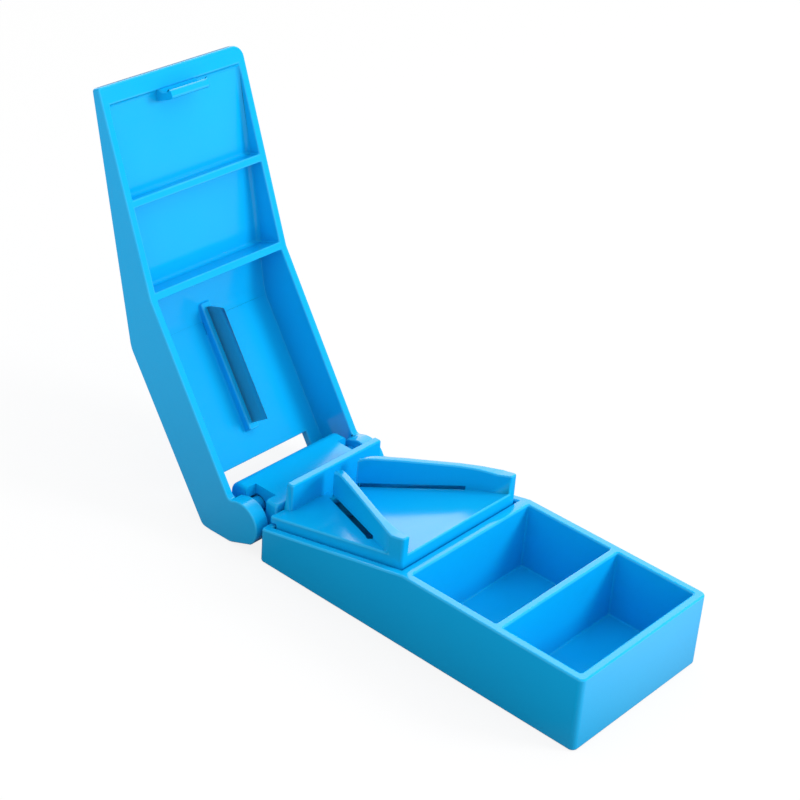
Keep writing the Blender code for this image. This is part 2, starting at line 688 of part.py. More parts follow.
# ---------------------------------------------------------------- blade
def make_blade():
    """A flat blank square to the rear roof slope, ground to an edge on both sides."""
    rear, front = BLADE_X
    half = BLADE_T / 2
    blade = prism("blade_blank", [below_roof(rear, BLADE_TOP),
                                  below_roof(BLADE_BACK_X, BLADE_TOP),
                                  below_roof(BLADE_BACK_X, RIB_DEPTH + NOSE_DEPTH),
                                  below_roof(front, BLADE_EDGE),
                                  below_roof(rear, BLADE_EDGE)], half)
    grind_z = BLADE_GRIND - BLADE_EDGE
    past_z = -BLADE_EDGE - PAST
    lean = Matrix.Rotation(-TILT, 4, "Y")
    drawn_edge = lean @ Vector((0, 0, -BLADE_EDGE * MM))
    edge_x, edge_z = below_roof((rear + front) / 2, BLADE_EDGE)
    to_edge = (edge_x * MM - drawn_edge.x, 0, edge_z * MM - drawn_edge.z)
    for side in (-1, 1):
        wedge = prism("grind", [(side * half, grind_z), (side * GROUND_HALF_T, -BLADE_EDGE),
                                (side * GROUND_HALF_T, past_z), (side * 2.0, past_z),
                                (side * 2.0, grind_z)], 25, "X")
        wedge.data.transform(lean)
        wedge.data.transform(Matrix.Translation(to_edge))
        cut(blade, wedge)
    return blade


# ---------------------------------------------------------------- assembly
plastic = material("blue_plastic", colour=(0.010, 0.352, 0.791), roughness=0.22, metallic=0.0)
steel = material("blade_steel", colour=(0.55, 0.57, 0.60), roughness=0.25, metallic=1.0)

tray_centre = (TRAY_LENGTH / 2, 0.0)
hinge_axis = (HINGE_X, HINGE_Z)
finish(make_tray(), "base_tray", plastic, tray_centre)
finish(make_cradle(), "pill_cradle", plastic, tray_centre)
cover = make_cover()
blade = make_blade()
finish(cover, "cover", plastic, hinge_axis)
finish(blade, "cutting_blade", steel, hinge_axis)

hinge = bpy.data.objects.new("cover_hinge_axis", None)
parts.objects.link(hinge)
hinge.location = ((HINGE_X - TRAY_LENGTH / 2) * MM, 0.0, HINGE_Z * MM)
hinge.rotation_euler = (0.0, -radians(OPEN_ANGLE), 0.0)
for moving in (cover, blade):
    moving.parent = hinge
bpy.context.view_layer.update()
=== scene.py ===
"""Pocket tablet splitter: tray with a V cradle, hinged cover standing open, and a steel blade.

Metres, +Z up, origin at the centre of the tray's underside; the hinge is at the -X end.
The mouldings and the blade replace pieces of the CAD frame.  Each is drawn in millimetres with
x = 0 at the tray's rear (hinge) face, y = 0 on the centre line and z = 0 under the tray.  The
cover and the blade are drawn shut, then swung open about the hinge axis.
"""

from math import atan2, cos, degrees, hypot, pi, radians, sin, tan

import bmesh
import bpy
from mathutils import Matrix, Vector


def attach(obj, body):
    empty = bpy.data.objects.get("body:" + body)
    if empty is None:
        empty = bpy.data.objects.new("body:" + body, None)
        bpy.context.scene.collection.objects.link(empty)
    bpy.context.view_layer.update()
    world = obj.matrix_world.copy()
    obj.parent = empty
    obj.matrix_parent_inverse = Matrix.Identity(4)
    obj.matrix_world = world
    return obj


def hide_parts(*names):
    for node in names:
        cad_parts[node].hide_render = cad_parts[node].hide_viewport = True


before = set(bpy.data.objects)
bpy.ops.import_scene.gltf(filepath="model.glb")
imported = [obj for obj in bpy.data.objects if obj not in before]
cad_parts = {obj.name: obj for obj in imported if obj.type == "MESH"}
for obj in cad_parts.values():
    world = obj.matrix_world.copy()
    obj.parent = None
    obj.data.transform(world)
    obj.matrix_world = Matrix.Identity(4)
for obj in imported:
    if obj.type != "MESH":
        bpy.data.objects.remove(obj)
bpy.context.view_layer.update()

# ---------------------------------------------------------------- shared dimensions, mm
MM = 0.001
NEAR = 1e-3                  # two coordinates closer than this count as equal
SIDES = (-1, 1)

TRAY_LENGTH = 72.5
TRAY_WIDTH = 34.5
HALF = TRAY_WIDTH / 2
RIM_HEIGHT = 14.6            # rim round the two storage cells
REAR_HEIGHT = 6.95           # side walls at the hinge end
KINK_X = 34.6                # side walls slope from about here down to the rear
WALL_SLOPE = (RIM_HEIGHT - REAR_HEIGHT) / KINK_X
FLOOR = 1.25
REAR_WALL = 1.6

HINGE_X = -6.8               # hinge axis, parallel to Y
HINGE_Z = 6.15
OPEN_ANGLE = 110.6           # degrees the cover stands open
ROOF_REAR_DEG = 13.3         # slope of the cover's rear roof when shut


# ---------------------------------------------------------------- solids
def as_object(name, bm, mesh=None):
    """Turns a bmesh into a scene object, in the given mesh or a new one."""
    mesh = mesh or bpy.data.meshes.new(name)
    bm.to_mesh(mesh)
    bm.free()
    obj = bpy.data.objects.new(name, mesh)
    bpy.context.scene.collection.objects.link(obj)
    return obj


# how an outline drawn in XY and extruded along Z is turned to run along each axis
AXIS_TURNS = {
    "X": Matrix(((0, 0, 1, 0), (1, 0, 0, 0), (0, 1, 0, 0), (0, 0, 0, 1))),
    "Y": Matrix.Rotation(pi / 2, 4, "X"),
    "Z": Matrix.Identity(4),
}


def prism(name, outline, half, axis="Y", lift=0.0):
    """A closed outline pushed out to +-half along an axis, then raised by lift.

    The outline is (y, z) for axis X, (x, z) for axis Y and (x, y) for axis Z.
    """
    curve = bpy.data.curves.new(name, "CURVE")
    curve.dimensions = "2D"
    curve.fill_mode = "BOTH"
    curve.extrude = half * MM
    spline = curve.splines.new("POLY")
    spline.points.add(len(outline) - 1)
    for point, (across, along) in zip(spline.points, outline):
        point.co = (across * MM, along * MM, 0.0, 1.0)
    spline.use_cyclic_u = True
    holder = bpy.data.objects.new(name, curve)
    bpy.context.scene.collection.objects.link(holder)
    graph = bpy.context.evaluated_depsgraph_get()
    mesh = bpy.data.meshes.new_from_object(holder.evaluated_get(graph))
    bpy.data.objects.remove(holder, do_unlink=True)

    # the filled curve is made watertight, and its flat faces made whole
    bm = bmesh.new()
    bm.from_mesh(mesh)
    bmesh.ops.remove_doubles(bm, verts=bm.verts, dist=1e-6)
    bmesh.ops.dissolve_limit(bm, angle_limit=radians(0.05), verts=bm.verts, edges=bm.edges)
    bmesh.ops.transform(bm, matrix=AXIS_TURNS[axis], verts=bm.verts)
    bmesh.ops.translate(bm, vec=(0, 0, lift * MM), verts=bm.verts)
    bmesh.ops.recalc_face_normals(bm, faces=bm.faces)
    return as_object(name, bm, mesh)


def box(name, x, y, z):
    """A box between two values on each axis."""
    bm = bmesh.new()
    bmesh.ops.create_cube(bm, size=1.0)
    size = Matrix.Diagonal(((x[1] - x[0]) * MM, (y[1] - y[0]) * MM, (z[1] - z[0]) * MM, 1.0))
    bmesh.ops.transform(bm, matrix=size, verts=bm.verts)
    centre = Vector((x[0] + x[1], y[0] + y[1], z[0] + z[1])) * (MM / 2)
    bmesh.ops.translate(bm, vec=centre, verts=bm.verts)
    return as_object(name, bm)


def rod(name, x, z, radius, y, segments=96):
    """A round bar parallel to Y, from y[0] to y[1]."""
    bm = bmesh.new()
    bmesh.ops.create_cone(bm, cap_ends=True, segments=segments, radius1=radius * MM,
                          radius2=radius * MM, depth=abs(y[1] - y[0]) * MM)
    bmesh.ops.transform(bm, matrix=Matrix.Rotation(pi / 2, 4, "X"), verts=bm.verts)
    bmesh.ops.translate(bm, vec=(x * MM, (y[0] + y[1]) * MM / 2, z * MM), verts=bm.verts)
    return as_object(name, bm)


def merge(target, tool, operation):
    """Combines target with tool, keeps the result as target's mesh and uses up the tool."""
    boolean = target.modifiers.new(operation, "BOOLEAN")
    boolean.operation = operation
    boolean.object = tool
    boolean.solver = "EXACT"
    graph = bpy.context.evaluated_depsgraph_get()
    mesh = bpy.data.meshes.new_from_object(target.evaluated_get(graph))
    target.modifiers.clear()
    target.data = mesh
    bpy.data.objects.remove(tool, do_unlink=True)


def add(target, tool):
    merge(target, tool, "UNION")


def cut(target, tool):
    merge(target, tool, "DIFFERENCE")


# ---------------------------------------------------------------- rounding
def edge_ends(edge):
    """Both ends of a mesh edge, in mm."""
    return [vert.co / MM for vert in edge.verts]


def upright(ends):
    start, end = ends
    return abs(start.x - end.x) < NEAR and abs(start.y - end.y) < NEAR


def on_side(ends, half):
    """Whether an edge lies in one of the side planes y = +-half."""
    start, end = ends
    return abs(abs(start.y) - half) < NEAR and abs(start.y - end.y) < NEAR


def bevel(bm, edges, radius, segments, clamp):
    return bmesh.ops.bevel(bm, geom=edges, offset=radius * MM, offset_type="OFFSET",
                           segments=segments, profile=0.5, affect="EDGES", clamp_overlap=clamp)


def round_edges(obj, radius, segments, wanted):
    """Rounds the mesh edges that wanted(ends) picks."""
    bm = bmesh.new()
    bm.from_mesh(obj.data)
    chosen = [edge for edge in bm.edges if wanted(edge_ends(edge))]
    bevel(bm, chosen, radius, segments, clamp=True)
    bm.to_mesh(obj.data)
    bm.free()


def soften(obj, radius, skip, segments=3, sharp_angle=35):
    """Rounds every edge sharper than sharp_angle degrees, apart from those skip(ends) picks.

    The attribute "rounded" marks the new faces: 1 where they stand proud, -1 in a corner.
    """
    bm = bmesh.new()
    bm.from_mesh(obj.data)
    bmesh.ops.remove_doubles(bm, verts=bm.verts, dist=2e-6)
    bmesh.ops.dissolve_degenerate(bm, edges=bm.edges, dist=2e-6)
    sharp = [edge for edge in bm.edges if len(edge.link_faces) == 2
             and edge.calc_face_angle(0.0) > radians(sharp_angle)]
    chosen = [edge for edge in sharp if not skip(edge_ends(edge))]
    for face in bm.faces:
        face.smooth = True
    for edge in set(sharp) - set(chosen):
        edge.smooth = False
    rounded = bm.faces.layers.float.new("rounded")
    made = bevel(bm, chosen, radius, segments, clamp=False)
    bm.normal_update()
    for face in made["faces"]:
        here = face.calc_center_median()
        rise = sum((other.calc_center_median() - here).normalized().dot(face.normal)
                   for edge in face.edges for other in edge.link_faces if other != face)
        face[rounded] = 1.0 if rise < 0 else -1.0
    bm.to_mesh(obj.data)
    bm.free()


# ---------------------------------------------------------------- outlines
def arc(centre_x, centre_z, radius, start, end, steps):
    """Points on a circle from start to end, both in degrees."""
    angles = [radians(start + (end - start) * i / steps) for i in range(steps + 1)]
    return [(centre_x + radius * cos(angle), centre_z + radius * sin(angle)) for angle in angles]


def corner(before, at, after, radius, steps):
    """The corner `at` of an outline, rounded."""
    tip = Vector(at)
    to_before = (Vector(before) - tip).normalized()
    to_after = (Vector(after) - tip).normalized()
    half = to_before.angle(to_after) / 2
    reach = radius / tan(half)
    centre = tip + (to_before + to_after).normalized() * (radius / sin(half))
    start = tip + to_before * reach - centre
    end = tip + to_after * reach - centre
    first = atan2(start.y, start.x)
    turn = (atan2(end.y, end.x) - first + pi) % (2 * pi) - pi
    return [(centre.x + radius * cos(first + turn * i / steps),
             centre.y + radius * sin(first + turn * i / steps)) for i in range(steps + 1)]


def straight(x, start, end):
    """Second coordinate at x on the line through two points."""
    return start[1] + (x - start[0]) * (end[1] - start[1]) / (end[0] - start[0])


def bend(t, start, control, end):
    """One coordinate of a quadratic curve at t, from 0 to 1."""
    return (1 - t) ** 2 * start + 2 * t * (1 - t) * control + t * t * end


# ---------------------------------------------------------------- shader helpers
def feed(target, inputs):
    """Fills a node's inputs, by name or index: a socket is linked, anything else is a value."""
    for key, value in inputs.items():
        if isinstance(value, bpy.types.NodeSocket):
            target.id_data.links.new(value, target.inputs[key])
        else:
            target.inputs[key].default_value = value


def add_node(tree, kind, inputs=None, **settings):
    made = tree.nodes.new("ShaderNode" + kind)
    for key, value in settings.items():
        setattr(made, key, value)
    feed(made, inputs or {})
    return made


def noise(tree, vector, scale, detail=2.0, roughness=0.5):
    inputs = {"Vector": vector, "Scale": scale, "Detail": detail, "Roughness": roughness}
    return add_node(tree, "TexNoise", inputs).outputs["Fac"]


def mapping(tree, vector, **inputs):
    return add_node(tree, "Mapping", {"Vector": vector, **inputs}).outputs["Vector"]


def remap(tree, value, source=(0.0, 1.0), to=(0.0, 1.0)):
    """Maps the range `source` onto the range `to`, held at both ends."""
    inputs = {"Value": value, "From Min": source[0], "From Max": source[1],
              "To Min": to[0], "To Max": to[1]}
    return add_node(tree, "MapRange", inputs).outputs["Result"]


def mix(tree, data_type, factor, first, second):
    inputs = {"Factor": factor, "A": first, "B": second}
    return add_node(tree, "Mix", inputs, data_type=data_type).outputs["Result"]


def math(tree, operation, first, second, **settings):
    made = add_node(tree, "Math", {0: first, 1: second}, operation=operation, **settings)
    return made.outputs["Value"]


def vector_math(tree, operation, *operands, output="Vector"):
    made = add_node(tree, "VectorMath", dict(enumerate(operands)), operation=operation)
    return made.outputs[output]


def bump(tree, height, strength, distance):
    inputs = {"Height": height, "Strength": strength, "Distance": distance}
    return add_node(tree, "Bump", inputs).outputs["Normal"]


def mix_shader(tree, factor, first, second):
    return add_node(tree, "MixShader", {"Fac": factor, 1: first, 2: second}).outputs["Shader"]


def new_material(name):
    material = bpy.data.materials.new(name)
    material.use_nodes = True
    return material, material.node_tree, material.node_tree.nodes["Principled BSDF"]


# ---------------------------------------------------------------- materials
def plastic_material():
    """Glossy moulded plastic: faint clouds, handling scratches, and a painted highlight on proud
    edges.
    """
    material, tree, bsdf = new_material("blue_plastic_gloss")
    where = add_node(tree, "TexCoord").outputs["Object"]

    # colour: slow clouds of two close blues, with proud edges painted paler in patches as a
    # painted highlight
    cloud = noise(tree, where, scale=45.0, detail=3.0, roughness=0.55)
    tone = mix(tree, "RGBA", cloud, (0.0016, 0.405, 0.83, 1), (0.0026, 0.445, 0.86, 1))
    rounded = add_node(tree, "Attribute", attribute_name="rounded").outputs["Fac"]
    edge_highlight_paint = 0.26
    edge = math(tree, "MULTIPLY", rounded, edge_highlight_paint, use_clamp=True)
    patch = noise(tree, where, scale=160.0)
    painted_edge_highlight = math(tree, "MULTIPLY", edge, patch)
    # the pale blue mixed in here is a painted highlight on the proud edges
    colour = mix(tree, "RGBA", painted_edge_highlight, tone, (0.13, 0.68, 0.96, 1))

    # roughness: blotches, fine stretched scratches, and dull inner corners
    blotch = noise(tree, where, scale=120.0, detail=4.0, roughness=0.6)
    stretched = mapping(tree, where, Scale=(90.0, 2600.0, 700.0), Rotation=(0.3, 0.2, 0.5))
    hair = noise(tree, stretched, scale=1.0)
    scratch = remap(tree, hair, source=(0.66, 0.74), to=(0.0, 0.05))
    base = remap(tree, blotch, source=(0.3, 0.7), to=(0.10, 0.17))
    gloss = math(tree, "ADD", base, scratch)
    dust = remap(tree, rounded, source=(-1.0, 0.0), to=(0.45, 0.0))
    roughness = math(tree, "ADD", gloss, dust)
    specular = remap(tree, rounded, source=(-1.0, 0.0), to=(0.08, 0.5))

    # a very shallow orange peel on the skin
    peel = noise(tree, where, scale=900.0)
    normal = bump(tree, peel, strength=0.05, distance=0.00004)
    feed(bsdf, {"Base Color": colour, "Roughness": roughness, "Specular IOR Level": specular,
                "IOR": 1.5, "Normal": normal})
    return material


def steel_material():
    """Steel with fine grinding lines along the blade."""
    material, tree, bsdf = new_material("blade_steel_ground")
    where = add_node(tree, "TexCoord").outputs["Object"]
    # the lines are turned with the open cover, then drawn out along the blade
    blade_turn = radians(OPEN_ANGLE - ROOF_REAR_DEG)
    turned = mapping(tree, where, Rotation=(0.0, blade_turn, 0.0))
    stretched = mapping(tree, turned, Scale=(60.0, 500.0, 5200.0))
    lines = noise(tree, stretched, scale=1.0, detail=4.0, roughness=0.7)
    colour = mix(tree, "RGBA", lines, (0.36, 0.39, 0.43, 1), (0.42, 0.45, 0.49, 1))
    roughness = remap(tree, lines, to=(0.26, 0.34))
    normal = bump(tree, lines, strength=0.06, distance=0.00001)
    feed(bsdf, {"Base Color": colour, "Roughness": roughness, "Metallic": 1.0,
                "Normal": normal})
    return material


# ---------------------------------------------------------------- tray
WALL = 1.7
INNER_HALF = HALF - WALL
TRAY_KINK = KINK_X - 0.75
CORNER_R = 1.1               # upright outer corners
CROSS_WALL = (32.3, 34.75)   # between the cradle's well and the rear cell
DIVIDER = (53.15, 54.7)      # between the two cells
FRONT_INNER = 70.8
CELL_R = 0.35
OPEN_TOP = RIM_HEIGHT + 3    # top of the cutters, clear above the rim
CATCH_Z = (10.7, 12.4)       # catch groove inside the front wall
CATCH_HALF = 4.5
CATCH_DEPTH = 0.5

KNUCKLE_REAR = -11.9
KNUCKLE_TOP = 10.0
KNUCKLE_BOTTOM = 3.0
KNUCKLE_HALF = 13.2
KNUCKLE_R = 2.4              # its two rear corners
KNUCKLE_ROOT = (0.8, 6.4)    # how far it bites into the rear wall, and up to what height
SOCKET_R = 1.85
SOCKET_END = 10.1            # |y| where each blind socket stops
END_NOTCH_X = (-7.8, -2.6)   # notch in the top of each end of the knuckle
END_NOTCH_Y = 10.8
END_NOTCH_Z = 4.0
TRAY_EDGE_R = 0.38


def knuckle_block():
    """Flat-topped hinge block with a rounded back, carried on the rear wall."""
    root_x, root_z = KNUCKLE_ROOT
    front_top, rear_top = (0.0, KNUCKLE_TOP), (KNUCKLE_REAR, KNUCKLE_TOP)
    front_foot, rear_foot = (0.0, KNUCKLE_BOTTOM), (KNUCKLE_REAR, KNUCKLE_BOTTOM)
    outline = [front_foot, (root_x, KNUCKLE_BOTTOM), (root_x, root_z), (0.0, root_z), front_top]
    outline += corner(front_top, rear_top, rear_foot, KNUCKLE_R, 12)
    outline += corner(rear_top, rear_foot, front_foot, KNUCKLE_R, 12)
    knuckle = prism("knuckle", outline, KNUCKLE_HALF)
    round_edges(knuckle, 0.7, 6, lambda ends: on_side(ends, KNUCKLE_HALF)
                and all(end.x < 0.1 for end in ends)
                and not all(abs(end.x) < 0.1 for end in ends))
    return knuckle


def end_notch_edge(ends):
    """Edges of the notches at the knuckle's ends, which stay crisp."""
    return all(END_NOTCH_X[0] - 0.1 < end.x < END_NOTCH_X[1] + 0.1
               and abs(end.y) > END_NOTCH_Y - 0.1 and end.z > END_NOTCH_Z - 0.1 for end in ends)


def build_tray():
    tray = prism("tray_body", [(0, 0), (TRAY_LENGTH, 0), (TRAY_LENGTH, RIM_HEIGHT),
                               (TRAY_KINK, RIM_HEIGHT), (0, REAR_HEIGHT)], HALF)
    round_edges(tray, CORNER_R, 8, upright)

    across, up = (-INNER_HALF, INNER_HALF), (FLOOR, OPEN_TOP)
    for name, x in (("rear_cell", (CROSS_WALL[1], DIVIDER[0])),
                    ("front_cell", (DIVIDER[1], FRONT_INNER))):
        cell = box(name, x, across, up)
        round_edges(cell, CELL_R, 4, lambda ends: not all(end.z > OPEN_TOP - 0.1 for end in ends))
        cut(tray, cell)
    cut(tray, box("well", (REAR_WALL, CROSS_WALL[0]), across, up))
    cut(tray, box("catch_groove", (FRONT_INNER - 1, FRONT_INNER + CATCH_DEPTH),
                  (-CATCH_HALF, CATCH_HALF), CATCH_Z))

    add(tray, knuckle_block())
    past_end = KNUCKLE_HALF + 1.0
    for side in SIDES:
        cut(tray, rod("socket", HINGE_X, HINGE_Z, SOCKET_R, (side * SOCKET_END, side * past_end)))
        cut(tray, box("end_notch", END_NOTCH_X, sorted((side * END_NOTCH_Y, side * past_end)),
                      (END_NOTCH_Z, KNUCKLE_TOP + 1.0)))
    soften(tray, TRAY_EDGE_R, end_notch_edge)
    return tray


# ---------------------------------------------------------------- cradle
CRADLE_REAR = 0.3
CRADLE_FRONT = 31.9
CRADLE_HALF = 15.2
CRADLE_CORNER_R = 0.6
CRADLE_EDGE_R = 0.34
DECK_Z0 = 8.8                # deck height at x = 0
DECK_SLOPE = 0.236
DECK_T = 1.5
SKIRT_T = 1.3
SKIRT_REAR = REAR_WALL + 0.3
SKIRT_FOOT = FLOOR + 0.3
REAR_STOCK = 5.4             # height of the blank above the deck at its rear face
BACK_WALL = (0.85, 2.5)      # upright wall behind the V, in x
BACK_WALL_HALF = 11.7
BACK_WALL_TOP = 14.75

ARM_T = 1.5                  # V arms
ARM_GAP = 0.7                # clear height under the free part of an arm
SLOT_X = (5.5, 23.6)         # slot under the free part of an arm
SLOT_PLAY = (0.25, 0.6)      # how far the slot reaches past an arm, inside and outside
# height of the arms' tops above the deck: (x, height)
ARM_TOPS = ((5.2, 5.5), (6.2, 5.95), (7.6, 6.05), (12.0, 5.8), (17.0, 5.35), (21.5, 4.95),
            (25.0, 4.5), (27.5, 4.05), (29.3, 3.75), (40.0, 3.7))
ARM_START = ARM_TOPS[0][0]
# inner face of an arm in plan, (x, |y|): two straights joined by a curve round the bend
ARM_REAR = (4.9, 1.95)
ARM_BEND = (24.6, 11.75)
ARM_FRONT = (31.9, 13.55)
BEND_REACH = 3.0             # the curve runs this far either side of the bend
# outer face of the front post in plan: the arm's line carries on to POST_TURN_X, then turns out
ARM_OUTER_END = 22.6
POST_TURN_X = 27.4
POST_FRONT = (30.9, 16.0)
# beyond the cradle, where the plan of an arm is closed
PLAN_FRONT = 34.0
PLAN_SIDE = 19.0


def deck(x):
    return DECK_Z0 + DECK_SLOPE * x


def arm_height(x):
    """Height of an arm's top above the deck."""
    x = max(x, ARM_START)
    for start, end in zip(ARM_TOPS, ARM_TOPS[1:]):
        if x <= end[0]:
            return straight(x, start, end)


def arm_inner(x):
    """Half the gap between the arms at x."""
    rear, front = ARM_BEND[0] - BEND_REACH, ARM_BEND[0] + BEND_REACH
    if x <= rear:
        return straight(x, ARM_REAR, ARM_BEND)
    if x >= front:
        return straight(x, ARM_BEND, ARM_FRONT)
    t = (x - ARM_BEND[0] + BEND_REACH) / (2 * BEND_REACH)
    return bend(t, arm_inner(rear), ARM_BEND[1], arm_inner(front))


def arm_band(side, x_from, x_to, inwards, outwards, steps):
    """Inner and outer lines, in plan, of a band that follows one arm's inner face."""
    inner, outer = [], []
    for i in range(steps + 1):
        x = x_from + (x_to - x_from) * i / steps
        y = arm_inner(x)
        slope = (arm_inner(x + 0.05) - arm_inner(x - 0.05)) / 0.1
        length = hypot(1.0, slope)
        normal_x, normal_y = -slope / length, 1.0 / length
        inner.append((x - normal_x * inwards, side * (y - normal_y * inwards)))
        outer.append((x + normal_x * outwards, side * (y + normal_y * outwards)))
    return inner, outer


def arm_stock(side):
    """One arm and its front post, as an upright prism far taller than the arm."""
    inner, outer = arm_band(side, ARM_START, PLAN_FRONT, 0.0, ARM_T, 48)
    outer = [point for point in outer if point[0] < ARM_OUTER_END]
    turn = (POST_TURN_X, straight(POST_TURN_X, outer[-2], outer[-1]))
    end = (POST_FRONT[0], side * POST_FRONT[1])
    sweep = [tuple(bend(i / 10, *values) for values in zip(outer[-1], turn, end))
             for i in range(1, 11)]
    past_post = [(PLAN_FRONT, side * PLAN_SIDE), (POST_FRONT[0], side * PLAN_SIDE)]
    plan = inner + past_post + sweep[::-1] + outer[::-1]
    return prism("arm_stock", plan, 25, "Z", lift=20.0)


def arm_slot(side):
    """Cutter that lifts the free length of one arm clear of the deck."""
    inner, outer = arm_band(side, *SLOT_X, SLOT_PLAY[0], ARM_T + SLOT_PLAY[1], 20)
    tail = corner(outer[-3], outer[-1], inner[-1], 1.5, 8)
    slot = prism("arm_slot", inner + tail[::-1] + outer[-3::-1], 20, "Z")
    depth = prism("slot_depth", [(-2.0, 2.0), (34.0, 2.0), (34.0, deck(34.0) + ARM_GAP),
                                 (-2.0, deck(-2.0) + ARM_GAP)], 19)
    merge(slot, depth, "INTERSECT")
    return slot


def cradle_inside(ends):
    """Edges of the slots, all but their outer lips, and of the arms' feet, which stay crisp."""
    low = all(end.z < deck(end.x) + 1.2 for end in ends)
    on_rim = all(end.x > CRADLE_FRONT - 0.8 or end.x < CRADLE_REAR + 0.7
                 or abs(end.y) > CRADLE_HALF - 0.7 for end in ends)
    outer_lip = all(abs(end.z - deck(end.x)) < 0.05 and 6.3 < end.x < 22.4
                    and abs(end.y) > arm_inner(end.x) + ARM_T + 0.45 for end in ends)
    return low and not on_rim and not outer_lip


def build_cradle():
    # one blank as tall as the arms: skirt, deck and the stock the arms are cut from
    outline = [(SKIRT_REAR, SKIRT_FOOT), (CRADLE_FRONT, SKIRT_FOOT)]
    for i in range(49):
        x = CRADLE_FRONT - (CRADLE_FRONT - ARM_START) * i / 48
        outline.append((x, deck(x) + arm_height(x)))
    outline += [(CRADLE_REAR, deck(CRADLE_REAR) + REAR_STOCK),
                (CRADLE_REAR, deck(CRADLE_REAR) - DECK_T),
                (SKIRT_REAR, deck(SKIRT_REAR) - DECK_T)]
    cradle = prism("cradle_blank", outline, CRADLE_HALF)
    round_edges(cradle, CRADLE_CORNER_R, 5, upright)

    rear, front = SKIRT_REAR + SKIRT_T, CRADLE_FRONT - SKIRT_T
    cut(cradle, prism("under_deck", [(rear, -3.0), (front, -3.0), (front, deck(front) - DECK_T),
                                     (rear, deck(rear) - DECK_T)], CRADLE_HALF - SKIRT_T))

    # everything above the deck goes, except the two arms
    above = prism("above_deck", [(-1.0, deck(-1.0)), (33.0, deck(33.0)), (33.0, 40.0),
                                 (-1.0, 40.0)], CRADLE_HALF + 1.8)
    for side in SIDES:
        cut(above, arm_stock(side))
    cut(cradle, above)
    for side in SIDES:
        cut(cradle, arm_slot(side))

    back = box("back_wall", BACK_WALL, (-BACK_WALL_HALF, BACK_WALL_HALF),
               (deck(BACK_WALL[0]) - 0.8, BACK_WALL_TOP))
    round_edges(back, 0.3, 4, lambda ends: all(end.z > BACK_WALL_TOP - 0.01 for end in ends))
    add(cradle, back)
    soften(cradle, CRADLE_EDGE_R, cradle_inside)
    return cradle


# ---------------------------------------------------------------- cover (drawn shut)
COVER_WALL = 1.6
COVER_INNER_HALF = HALF - COVER_WALL
ROOF_T = 1.7
ROOF_BITE = 0.9              # depth below the roof's face that added pieces reach up to
RIM_Z = RIM_HEIGHT + 0.3     # cover rim, a gap above the tray rim
COVER_KINK = KINK_X - 0.6
PEAK = (24.9, 24.15)         # ridge where the two roof slopes meet
TIP_X = 72.9
TIP_TOP = 16.7
TIP_INNER = 69.6
TIP_CORNER_R = (0.6, 2.4)    # upright corners of the tip, on the -Y and +Y sides
COVER_REAR = -12.2           # rear face, down to the lugs
REAR_INNER = COVER_REAR + COVER_WALL
TABLE_GAP = 0.06             # what stands clear of the table when the cover is open
REAR_CORNER_R = 1.6
ROOF_EDGE_R = 2.1            # long roof edges
COVER_EDGE_R = 0.30
RIBS = ((33.6, 35.1), (50.8, 52.3))    # cross ribs, in x

LUG_X = -8.1                 # centre and radius of the lug's rounded foot
LUG_Z = 4.95
LUG_R = 4.35
LUG_INNER = 14.1             # |y| of the lug's inner face
STUB_R = 1.5                 # stub axles
STUB_END = 10.5
WINDOW_X = -2.3              # front end of the notch over the knuckle
WINDOW_HALF = 12.6
WINDOW_STEP = (HINGE_X - 2.1, HINGE_Z + 6.6)    # the notch is taller behind this step
WINDOW_FOOT_HALF = 13.5      # the same notch, lower down, round the knuckle
WINDOW_FOOT_TOP = HINGE_Z + 5.2

TONGUE_HALF = 4.5
TONGUE_END = 11.3
TONGUE_X = (67.4, 69.5)      # rear and front faces at the roof

BLADE_RIB_T = 2.4
BLADE_RIB_H = 1.75
BLADE_RIB_X = (4.2, 29.2)
RIB_DEPTH = ROOF_T + BLADE_RIB_H    # depth of the rib's free edge below the roof's outer face
BLADE_EDGE = 8.0             # depth of the cutting edge below the roof's outer face

REAR_TILT = radians(ROOF_REAR_DEG)
REAR_SLOPE = tan(REAR_TILT)
FRONT_SLOPE = (PEAK[1] - TIP_TOP) / (TIP_X - PEAK[0])


def roof(x, depth=0.0):
    """Height of the roof's outer face, or of a surface `depth` below it."""
    rear = PEAK[1] - (PEAK[0] - x) * REAR_SLOPE - depth / cos(REAR_TILT)
    front = PEAK[1] - (x - PEAK[0]) * FRONT_SLOPE - depth * hypot(1.0, FRONT_SLOPE)
    return min(rear, front)


def roof_peak(depth):
    """Where the two roof slopes meet, `depth` below the outer face."""
    rear = PEAK[1] - depth / cos(REAR_TILT)
    front = PEAK[1] - depth * hypot(1.0, FRONT_SLOPE)
    x = PEAK[0] + (front - rear) / (REAR_SLOPE + FRONT_SLOPE)
    return (x, roof(x, depth))


def below_roof(x_on_edge, depth):
    """Point `depth` below the roof on the line, square to it, through the blade's edge at x."""
    x = x_on_edge + (depth - BLADE_EDGE) * sin(REAR_TILT)
    z = PEAK[1] - (PEAK[0] - x_on_edge) * REAR_SLOPE - BLADE_EDGE / cos(REAR_TILT)
    return (x, z + (BLADE_EDGE - depth) * cos(REAR_TILT))


def cover_rim(x):
    return RIM_Z - max(0.0, COVER_KINK - x) * WALL_SLOPE


def height_open(x, z):
    """Height over the table, once the cover is open, of a point of the shut cover."""
    angle = radians(OPEN_ANGLE)
    return HINGE_Z + (x - HINGE_X) * sin(angle) + (z - HINGE_Z) * cos(angle)


def rear_face():
    """Top and foot of the sloping rear face, which lies on the table once the cover is open."""
    angle = radians(OPEN_ANGLE)
    foot_z = HINGE_Z + (HINGE_Z - TABLE_GAP + (COVER_REAR - HINGE_X) * sin(angle)) / -cos(angle)
    low, high = COVER_REAR, 10.0
    for _ in range(40):
        middle = (low + high) / 2
        if height_open(middle, roof(middle)) > TABLE_GAP:
            high = middle
        else:
            low = middle
    return (high, roof(high)), (COVER_REAR, foot_z)


